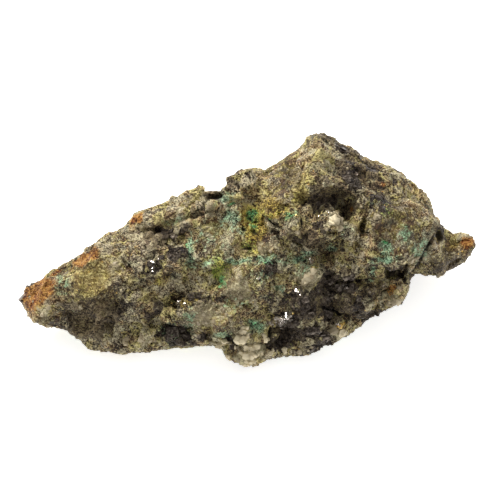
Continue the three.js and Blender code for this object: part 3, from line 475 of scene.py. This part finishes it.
def stain(skin):
    mesh = skin.data
    places, normals, across, up = onSkin(mesh)
    unbroken = np.empty(len(mesh.vertices) * 3)
    mesh.attributes["unbroken"].data.foreach_get("vector", unbroken)
    mesh.attributes.remove(mesh.attributes["unbroken"])
    points = [Vector(place) / mm for place in unbroken.reshape(-1, 3)]
    luck, centres = np.zeros((len(points), 3)), np.zeros((len(points), 3))
    for (size, _), share in zip(stone["chips"], (0.3, 0.45, 0.25)):  # a grain is as large as a chip and keeps to its edges
        seeds = [noise.voronoi(p / size)[1][0] for p in points]
        luck += share * (np.array([noise.cell_vector(seed * 41.7) for seed in seeds]) - 0.5)
        centres += share * size * np.array(seeds)
    grainAcross = centres[:, 0] - tip.x / mm + face["tipAcross"]
    grainUp = (centres - np.array(tip) / mm) @ np.array(upFace) + face["tipUp"]
    wander = np.array([noise.noise_vector(p / 2.6) for p in points])
    ragged = np.array([noise.noise_vector(p / 0.9) for p in points])
    across = across + 1.1 * wander[:, 0] + 0.5 * ragged[:, 0]
    up = up + 1.1 * wander[:, 1] + 0.5 * ragged[:, 1]
    frontness = seen(normals)
    zones = np.array([noise.noise_vector(p / 9 + Vector((3, 7, 1))) for p in points])
    more = np.array([noise.noise_vector(p / 8 + Vector((9, 2, 5))) for p in points])
    unseen = {"rust": zones[:, 0] - 0.12, "ochre": zones[:, 1], "teal": zones[:, 2] - 0.12, "moss": more[:, 0] - 0.35,
              "sulphide": -zones[:, 1], "quartz": -zones[:, 0], "umber": more[:, 1], "amber": more[:, 2] - 0.2,
              "emerald": more[:, 1] - 0.45, "yellow": zones[:, 1] - 0.45}
    pale = 0.8 * patchwork(grainAcross, grainUp, stains["quartz"])
    for index, (name, patches) in enumerate(stains.items()):
        mineral = name in minerals
        field = patchwork(grainAcross, grainUp, patches) if mineral else patchwork(across, up, patches)
        if name in ("umber", "sulphide"):
            field = np.clip(field - pale, 0, 1)
        field = field * frontness + np.clip(unseen[name] * 1.6 + 0.2, 0, 0.8) * (1 - frontness)
        if mineral:
            field = field + 2 * minerals[name] * luck[:, index % 3]
        store(mesh, name, field)
    store(mesh, "grain", 0.5 + 1.6 * luck[:, 1])
    # painted shade in the hollows between chips, painted light on their crests
    store(mesh, "hollow", 0.5 + bend(mesh))
    # painted light and painted shade: paler and darker patches, partly the ground's own tone
    shade = patchwork(across, up, tone_and_painted_light_patches["paler_and_painted_light"]) - patchwork(across, up, tone_and_painted_light_patches["darker_and_painted_shade"])
    # painted shade: the edges that turn under, away from the light, are darker
    shade -= 1.6 * np.clip((-0.35 - normals @ np.array(upFace)) / 0.5, 0, 1)  # the edges that turn under are darker
    store(mesh, "shade", 0.5 + 0.25 * shade * frontness)


stain(skin)
print("stains: done")


# Each finish runs from its dark to its bright tone.
ore = {
    "brown": ((48, 34, 24), (79, 59, 40), (116, 91, 59), (158, 132, 91), (210, 186, 140)),
    "straw": ((42, 33, 17), (76, 65, 30), (115, 101, 53), (156, 143, 83), (214, 201, 138)),
    "grey": ((42, 34, 29), (75, 64, 53), (111, 100, 81), (153, 141, 115), (213, 201, 170)),
    "verdigris": ((30, 32, 22), (66, 72, 52), (101, 110, 82), (144, 151, 114), (198, 204, 164)),
    "umber": ((38, 29, 20), (63, 51, 37), (89, 75, 55), (130, 114, 87)),
    "quartz": ((100, 90, 64), (134, 122, 90), (160, 149, 114), (212, 202, 166)),
    "sulphide": ((26, 19, 16), (41, 32, 28), (56, 46, 39), (98, 86, 72)),
    "ochre": ((58, 44, 16), (106, 88, 40), (150, 132, 72), (210, 196, 122)),
    "amber": ((40, 27, 6), (82, 61, 15), (121, 96, 30), (196, 168, 68)),
    "rust": ((62, 29, 4), (100, 46, 10), (138, 78, 24), (192, 142, 70)),
    "teal": ((46, 74, 54), (82, 122, 90), (118, 164, 128), (168, 212, 174)),
    "moss": ((36, 60, 24), (70, 108, 44), (120, 150, 60), (190, 200, 96)),
    "emerald": ((20, 76, 44), (44, 124, 70), (74, 166, 98), (136, 212, 146)),
    "yellow": ((92, 76, 14), (150, 132, 30), (200, 182, 62), (240, 228, 130)),
    # how far it breaks up into specks, how soft its edge is, and how much of the ground it hides
    "cover": {
        "umber": (0.3, 0.08, 0.85), "quartz": (0.4, 0.1, 0.8), "sulphide": (0.3, 0.06, 0.95), "ochre": (1, 0.3, 0.75),
        "amber": (0.9, 0.2, 0.85), "rust": (0.9, 0.2, 0.95), "teal": (1.4, 0.12, 0.75), "moss": (1.6, 0.1, 0.85),
        "emerald": (1.4, 0.08, 0.9), "yellow": (1.4, 0.08, 0.85),
    },
}


def paintOre():
    paint = Paint("copper stained quartz ore")
    dust = paint.noise(2.2, 1, 0.6, (0.1, 0, 0))
    fine = paint.noise(1, 3, 0.7, (0, 0.2, 0), warp=0.4)
    small = paint.noise(0.5, 4, 0.62, (0, 0, 0.3), warp=0.8)
    broad = paint.noise(0.13, 3, 0.55, (0.4, 0, 0), warp=0.6)
    streak = paint.noise(1.7, 3, 0.7, (0.3, 0.1, 0), (0.3, 1, 1), -35, 1)
    hue = paint.noise(0.28, 5, 0.7, (0.7, 0.2, 0.1), warp=0.5)
    tint = paint.noise(0.36, 5, 0.7, (0.2, 0.9, 0.4), warp=0.5)

    def threads(perMm, shift, gate):  # thin winding lines
        worm = paint.noise(perMm, 2, 0.5, shift, warp=2)
        return (worm - 0.5).maths("ABSOLUTE").over(0.07, 0.015) * gate

    thread = threads(0.55, (0.2, 0.5, 0), small.over(0.42, 0.55)).maths("MAXIMUM", threads(0.9, (0.8, 0.1, 0), hue.over(0.45, 0.56)))
    thread = thread.maths("MAXIMUM", threads(1.3, (0.4, 0.3, 0.2), tint.over(0.42, 0.52)))
    gap = threads(0.45, (0.1, 0.7, 0.5), tint.over(0.46, 0.56))
    lively = 1.36 - 1.0 * paint.attribute("plane")
    grain = paint.attribute("grain")
    tone = 0.75 * (dust - 0.5) + 0.35 * (fine - 0.5) + 1.2 * (streak - 0.5) + 0.16 * (small - 0.5) + 0.7 * thread - 0.4 * gap
    # painted glints: the sparse bright specks, partly pale grains too; painted shade: the dark specks in tiny pits and
    # the crevice term
    tone = tone + 0.5 * dust.over(0.6, 0.68) - 0.1 * dust.over(0.38, 0.28) - 0.36 * (paint.attribute("hollow") - 0.5)
    # painted shade on the low places of the chipped skin, painted light on the high ones
    tone = 0.31 + tone * lively + 0.16 * (grain - 0.5) + 0.4 * (broad - 0.5) + 0.2 * (paint.attribute("relief") - 0.5)
    # painted light and painted shade from the paler and darker patches and the edges that turn under
    tone = tone + 0.64 * (paint.attribute("shade") - 0.5)

    def finish(name):  # the finish's tones, spread evenly from dark to bright
        tones = ore[name]
        stops = [(0.12 + 0.76 * i / (len(tones) - 1), linear(*tint)) for i, tint in enumerate(tones)]
        return paint.node("ShaderNodeValToRGB", {"stops": stops}, {0: tone})

    colour = paint.mix(finish("brown"), finish("straw"), hue.over(0.44, 0.56))
    colour = paint.mix(colour, finish("grey"), (0.7 * tint + 0.3 * grain).over(0.46, 0.58) * 0.8)
    colour = paint.mix(colour, finish("verdigris"), (paint.attribute("teal") + 1.2 * (small - 0.5)).over(0.1, 0.8) * 0.75)
    colour = paint.mix(colour, finish("verdigris"), (tint - hue).over(0.08, 0.2) * 0.4)
    mixed = 0.5 * fine + 0.5 * small
    specks = 0.3 * dust + 0.3 * streak + 0.3 * small + 0.3 * thread
    covers, thin = {}, ("teal", "moss", "emerald", "yellow")
    for name, (reach, soft, cover) in ore["cover"].items():
        field = 0.7 * paint.attribute(name) - 0.04 if name in thin else paint.attribute(name)
        source = specks if name in thin else mixed
        covers[name] = (field + reach * (source - 0.5)).over(0.55 - soft, 0.55 + soft) * cover
        colour = paint.mix(colour, finish(name), covers[name])
    # painted shadow: the cracks go near black
    colour = paint.mix(colour, (*linear(24, 18, 14), 1), paint.attribute("crack").over(0.35, 0.95) * 0.9)
    sulphide, quartz = covers["sulphide"], covers["quartz"]
    paint.feed(paint.shader, {"Base Color": colour})
    roughness = 0.6 - 0.34 * sulphide - 0.16 * quartz + 0.5 * (fine - 0.5)
    paint.feed(paint.shader, {"Roughness": roughness, "Metallic": sulphide * 0.2, "Specular IOR Level": 0.3})
    flake = paint.node("ShaderNodeVectorMath", {"operation": "SUBTRACT"},
                       {0: paint.cells(0.9, out="Color", shift=(0.3, 0, 0)), 1: (0.5, 0.5, 0.5)})
    lean = paint.node("ShaderNodeVectorMath", {"operation": "SCALE"}, {0: flake, "Scale": sulphide * 0.7})
    facing = paint.node("ShaderNodeNewGeometry", None, None, "Normal")
    tilted = paint.node("ShaderNodeVectorMath", {"operation": "ADD"}, {0: facing, 1: lean})
    tilted = paint.node("ShaderNodeVectorMath", {"operation": "NORMALIZE"}, {0: tilted})
    bumpy = 0.3 * dust + 0.5 * fine + 0.6 * streak + 0.5 * small + 0.25 * thread - 0.25 * gap
    bump = paint.node("ShaderNodeBump", None, {"Height": bumpy * lively, "Strength": 0.9, "Distance": 0.45 * mm, "Normal": tilted})
    paint.feed(paint.shader, {"Normal": bump})
    return paint.material


skin.data.materials.clear()
skin.data.materials.append(paintOre())
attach(skin, "root")
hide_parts("gold_quartz_rock")
print("ore: done")

# Cleaved sulphide crystals: the dark, glossy cubes and plates that catch the light.
crystals = {
    "seed": 4,
    "scattered": 560,
    "edge": (0.4, 1.6),  # mm, smallest and largest
    "shards": 7,  # glints at each place below
    # dark flat crystals: (across, up, wide, high, turn)
    "plates": [
        (-19.4, -20.2, 3.2, 2.8, 10), (-16.6, -22, 3.2, 2.8, -5), (-14.4, -22.8, 2, 1.5, 20), (-20.6, -21.6, 2, 2, 30),
        (-17.4, -19.6, 2.4, 1.6, 40), (-11.7, -21.3, 1.4, 2.5, 0), (-24.4, -3.4, 1.8, 2.6, 20), (-21.8, -1.4, 1.4, 1.2, 0),
        (7.2, -22.6, 2, 1.8, 20), (19.4, -15.6, 2.6, 1.8, -20), (24, -8.6, 2, 1.6, 10), (20.4, -7, 1.8, 1.6, 40), (16.6, -24.4, 2, 1.2, 20),
        (-4.6, -23.6, 1.1, 2, 15), (14, -13.6, 1.6, 1.8, 30), (27, -11.6, 1.6, 1.4, 60), (17, 12, 1.6, 1.2, 30),
    ],
    # the surest glints: (across, up, wide, high, turn)
    "mirrors": [
        (7.6, -16.9, 1.8, 0.5, 70), (9.2, -16.2, 1.5, 0.35, 8), (5.9, -18, 1.2, 0.3, 0), (15, -2.2, 0.5, 0.4, 20),
        (11.6, -10, 0.8, 0.4, 10), (24.1, -9.2, 0.5, 0.4, 40), (23.4, -8.7, 0.4, 0.3, 0), (-23.9, -3, 0.9, 0.22, 75),
        (22.2, -18.4, 0.6, 0.35, 20), (22.8, -18.9, 0.4, 0.35, 70), (8.4, -18.4, 0.5, 0.3, 50), (6.7, -17.5, 0.8, 0.3, 30), (9.7, -17.2, 0.7, 0.25, 100), (8.8, -17.6, 0.5, 0.3, -20),
    ],
    # where crystals catch the light: (across, up, size in mm, turn)
    "bright": [
        (-24.6, -3, 1.2, 80), (-24.8, -4.4, 1.1, 60), (-22.4, -1.6, 0.6, 80),
        (14.8, -2.3, 1.1, 40), (12, -10, 0.9, 10), (23.6, -8.7, 0.9, 30), (24.8, -9.4, 0.8, 70), (-2.5, -17.6, 0.8, 20),
        (5.8, -18, 1.4, 0), (7.7, -16.8, 2, 110), (7.9, -17.6, 1.8, 70), (8.4, -16.8, 1.4, 30), (9.3, -16.3, 1.7, 10), (10, -15.8, 1, 60), (7.4, -18.6, 1.2, 30),
        (22.4, -18.6, 1, 20), (16.8, 8.8, 0.4, 20), (19, 9.9, 0.4, 50), (-16.4, -13, 0.5, 50), (-17.6, -12.4, 0.4, 10),
        (20, -14.8, 0.8, 30), (27.4, -12.2, 0.9, 60), (29.6, -9.4, 0.8, 15), (17.2, -19.8, 0.9, 70), (3, -20.6, 0.8, 40),
        (-33.2, -10.2, 0.4, 20), (33.4, -8.2, 0.7, 50), (10.4, -21.6, 0.8, 30), (2.2, -6.4, 0.6, 10), (-19.6, -20.2, 0.9, 70),
    ],
}


def nearest(tree, across, up):  # where a line of sight square to the face meets the skin
    start = onFace(across, up) + towardsEye * 80 * mm
    return tree.ray_cast(start, -towardsEye)[:2]


def scatter(tree, seed, count, name=None, least=0, most=0):  # places all round the stone, where a stain is strong enough
    number = 0
    while count:
        number += 1
        chance = Random(seed * 10 ** 6 + number)
        aim = Vector([chance.uniform(low, high) for low, high in zip(*cadBox)])
        way = Vector([chance.gauss(0, 1) for _ in range(3)]).normalized()
        place, _, index, _ = tree.ray_cast(aim - way * 200 * mm, way)
        if place is None:
            continue
        corner = skin.data.polygons[index].vertices[0]
        normal = skin.data.vertices[corner].normal
        if place.z < 2 * mm or abs(normal.dot(towardsEye)) < 0.45:
            continue
        if name is None or skin.data.attributes[name].data[corner].value > chance.uniform(least, most):
            count -= 1
            yield place, normal, chance


def addPiece(name, shape, paint):
    bmesh.ops.recalc_face_normals(shape, faces=shape.faces)
    mesh = bpy.data.meshes.new(name)
    shape.to_mesh(mesh)
    shape.free()
    mesh.materials.append(paint)
    piece = bpy.data.objects.new(name, mesh)
    scene.collection.objects.link(piece)
    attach(piece, "root")
    print(name + ":", len(mesh.polygons), "faces")


def addBlock(shape, place, facing, turn, size, fresh):  # a bevelled block whose top faces the given way
    matrix = Matrix.Translation(place) @ facing.to_track_quat("Z", "Y").to_matrix().to_4x4()
    matrix = matrix @ Matrix.Rotation(radians(turn), 4, "Z") @ Matrix.Diagonal((*(side * mm for side in size), 1))
    made = bmesh.ops.create_cube(shape, size=1, matrix=matrix)["verts"]
    for vertex in made:
        vertex[shape.verts.layers.float["fresh"]] = fresh
    edges = dict.fromkeys(edge for vertex in made for edge in vertex.link_edges)
    bmesh.ops.bevel(shape, geom=list(edges), offset=0.08 * min(size) * mm, affect="EDGES", segments=1, profile=0.5, material=-1)


def paintCrystal():
    paint = Paint("cleaved sulphide")
    wear = paint.noise(1.6, 3, 0.65)
    steps = paint.noise(0.8, 2, 0.5, (0.2, 0, 0), (0.2, 1, 4))
    fresh = paint.attribute("fresh")
    colour = paint.mix((*linear(52, 44, 38), 1), (*linear(132, 122, 110), 1), wear.over(0.4, 0.75))
    colour = paint.mix(colour, (*linear(214, 206, 198), 1), fresh)
    paint.feed(paint.shader, {"Base Color": colour, "Metallic": 0.85, "Roughness": 0.16 + (0.12 + 0.3 * wear) * (1 - fresh)})
    bump = paint.node("ShaderNodeBump", None, {"Height": steps, "Strength": 0.3, "Distance": 0.1 * mm})
    paint.feed(paint.shader, {"Normal": bump})
    return paint.material


def addCrystals(tree):
    chance = Random(crystals["seed"])
    shape = bmesh.new()
    shape.verts.layers.float.new("fresh")
    toKey = Vector(studio["keyFrom"]).normalized()
    halfway = (toKey + towardsEye).normalized()
    for across, up, size, turn in crystals["bright"] * crystals["shards"]:
        place, normal = nearest(tree, across + chance.uniform(-0.7, 0.7) * size, up + chance.uniform(-0.7, 0.7) * size)
        lean = (halfway + Vector((chance.uniform(-0.2, 0.2), chance.uniform(-0.2, 0.2), 0))).normalized()
        edge = size * chance.uniform(0.12, 0.36)
        addBlock(shape, place + lean * 0.15 * edge * mm, lean, turn + chance.uniform(-20, 20), (edge * 2.2, edge * 0.7, edge * 0.8), 1)
    for across, up, wide, high, turn in crystals["mirrors"]:
        place, _ = nearest(tree, across, up)
        addBlock(shape, place + halfway * 0.45 * mm, halfway, turn, (wide, high, 1.2), 1)
    for across, up, wide, high, turn in crystals["plates"]:
        place, normal = nearest(tree, across, up)
        lean = (towardsEye + 0.3 * normal + Vector((chance.uniform(-0.15, 0.15), chance.uniform(-0.15, 0.15), 0))).normalized()
        addBlock(shape, place - lean * 0.5 * mm, lean, turn, (wide, high, 1.4), 0)
    smallest, largest = crystals["edge"]
    for place, normal, chance in scatter(tree, crystals["seed"], crystals["scattered"], "sulphide", 0.8, 0.8):
        edge = smallest + (largest - smallest) * chance.random() ** 2.5
        lean = (normal + 0.7 * Vector([chance.uniform(-1, 1) for _ in range(3)])).normalized()
        size = (edge * chance.uniform(0.7, 1.5), edge, edge * chance.uniform(0.5, 1))
        addBlock(shape, place - normal * 0.15 * edge * mm, lean, chance.uniform(0, 90), size, 0)
    addPiece("sulphide_crystals", shape, paintCrystal())


# Pale quartz grains, and the small gold flakes between them.
grains = {
    "seed": 11,
    "scattered": 1500,
    "size": (0.35, 1.5),  # mm, smallest and largest
    "knobs": 3,  # parts of each grain below
    # the palest grains, then the other large ones: (across, up, size in mm)
    "palest": [
        (-7.2, -23.2, 2.4), (-5.4, -26.6, 1.8), (-2.4, -22.6, 2.8), (-1.2, -25.8, 2.4), (-0.3, -23.6, 2.6), (0.6, -27.6, 2.2), (1.7, -24, 2.2),
        (0.8, -26.2, 2.4), (4.4, -22.2, 2), (3.3, -21.2, 1.6), (-1.5, -19.4, 1.8), (-3.2, -24.2, 1.6), (5.3, -25, 1.7), (8.5, -25, 2), (-0.6, -28, 1.8),
        (22.6, -20, 3), (20.2, 7.6, 3), (14.2, -7.2, 2.2), (-8, -24, 1.6), (-0.8, -21.2, 1.8), (2.6, -25.4, 1.8),
    ],
    "large": [
        (20.6, 7.6, 3), (22, 6.4, 2), (14.6, -6.4, 2.8), (13.4, -7.6, 2), (15.8, -5.4, 1.8), (2.4, 1, 1.8), (-10.2, 11, 1.8),
        (12.6, -25, 1.8), (20.4, -19.4, 2.6), (14.2, -6.8, 3), (20.2, 7.8, 2.6),
        (-31, -22.6, 2), (-27, -21.4, 2.2), (-24.6, -22.4, 1.8), (36.4, -12.4, 2.4), (34.6, -13, 1.8), (37.2, -8.6, 1.6), (11.7, 4.8, 1.6),
        (31, 8.6, 1.8), (40.6, -2, 1.8), (-33.4, -3, 1.6), (27.6, -1, 1.6), (-42.6, -13.8, 1.4),
    ],
}
flakes = {
    "seed": 7,
    "scattered": 26,
    "size": (0.35, 0.8),  # mm
    # flakes that show on the face: (across, up, size in mm)
    "shown": [
        (22, -18.5, 1.5), (22.8, -18.2, 1.7), (23.4, -17.9, 1.4), (22.6, -19, 1.1), (-33.2, -10.2, 0.8), (53.4, 0.2, 0.7),
        (52.4, -0.6, 0.5), (54, 1, 0.5), (-19.6, -12.8, 0.7), (10.8, -15.4, 0.8), (5.2, -18.2, 0.7), (9.6, -17, 0.6),
        (14.4, 16.6, 0.8), (13.2, 19.2, 0.6), (6, 9.2, 0.7), (8.4, 9.8, 0.6), (11.4, 9, 0.6), (2.6, 7.4, 0.6), (16.6, 8.8, 0.6),
        (-36.6, -2.6, 0.6), (-40, -5, 0.5), (-29.4, -0.8, 0.5), (0.8, -12.4, 0.6), (28.6, -14.6, 0.5), (33, 11.4, 0.5),
    ],
}


def addChunk(shape, chance, place, normal, size, squash, pale=0):  # an angular grain, part sunk in the skin
    turn = Matrix.Rotation(chance.uniform(0, 6.28), 4, "Z")
    matrix = Matrix.Translation(place) @ normal.to_track_quat("Z", "Y").to_matrix().to_4x4() @ turn
    matrix = matrix @ Matrix.Diagonal((size * mm, size * mm * chance.uniform(0.6, 1), size * mm * squash, 1))
    made = bmesh.ops.create_icosphere(shape, subdivisions=1, radius=0.5, matrix=matrix)["verts"]
    for vertex in made:
        vertex.co += (vertex.co - place) * chance.uniform(-0.4, 0.25)
        vertex[shape.verts.layers.float["pale"]] = pale


def paintQuartz():
    paint = Paint("pale quartz")
    cloud = paint.noise(0.9, 4, 0.65)
    dirt = paint.noise(0.3, 3, 0.6, (0.4, 0, 0))
    pale = 0.7 * paint.attribute("pale") + 0.6 * (cloud - 0.35)
    colour = paint.mix((*linear(124, 110, 82), 1), (*linear(214, 200, 166), 1), pale.over(0, 1))
    colour = paint.mix(colour, (*linear(226, 212, 176), 1), pale.over(0.8, 1.4))
    colour = paint.mix(colour, (*linear(112, 98, 66), 1), dirt.over(0.5, 0.62) * 0.5)
    paint.feed(paint.shader, {"Base Color": colour, "Roughness": 0.35 + 0.3 * cloud, "IOR": 1.54})
    return paint.material


def paintGold():
    paint = Paint("native gold")
    wear = paint.noise(2, 3, 0.6)
    colour = paint.mix((*linear(196, 150, 70), 1), (*linear(255, 222, 140), 1), wear.over(0.35, 0.65))
    paint.feed(paint.shader, {"Base Color": colour, "Metallic": 1, "Roughness": 0.2 + 0.25 * wear})
    return paint.material


def addGrains(tree):
    shape = bmesh.new()
    shape.verts.layers.float.new("pale")
    for number, (across, up, size) in enumerate(grains["palest"] + grains["large"]):
        chance = Random(grains["seed"] + number)
        palest = number < len(grains["palest"])
        for _ in range(grains["knobs"]):
            place, normal = nearest(tree, across + chance.uniform(-0.3, 0.3) * size, up + chance.uniform(-0.3, 0.3) * size)
            if place:
                width = size * chance.uniform(0.7, 1.15)
                addChunk(shape, chance, place - normal * 0.05 * width * mm, normal, width, 0.75, chance.uniform(0.1, 0.7) + palest)
    smallest, largest = grains["size"]
    for place, normal, chance in scatter(tree, grains["seed"], grains["scattered"], "quartz", 0.2, 1.1):
        size = smallest + (largest - smallest) * chance.random() ** 4
        addChunk(shape, chance, place, normal, size, 0.7, chance.uniform(0, 0.5))
    addPiece("quartz_grains", shape, paintQuartz())


def addFlakes(tree):
    chance = Random(flakes["seed"])
    shape = bmesh.new()
    shape.verts.layers.float.new("pale")
    toKey = Vector(studio["keyFrom"]).normalized()
    halfway = (toKey + towardsEye).normalized()
    for across, up, size in flakes["shown"]:
        place, normal = nearest(tree, across, up)
        addChunk(shape, chance, place, (halfway + 0.2 * normal).normalized(), size, 0.5)
    smallest, largest = flakes["size"]
    for place, normal, chance in scatter(tree, flakes["seed"], flakes["scattered"]):
        addChunk(shape, chance, place, normal, chance.uniform(smallest, largest), 0.5)
    addPiece("gold_flakes", shape, paintGold())


tree = BVHTree.FromPolygons([v.co for v in skin.data.vertices], [tuple(p.vertices) for p in skin.data.polygons])
addCrystals(tree)
addGrains(tree)
addFlakes(tree)
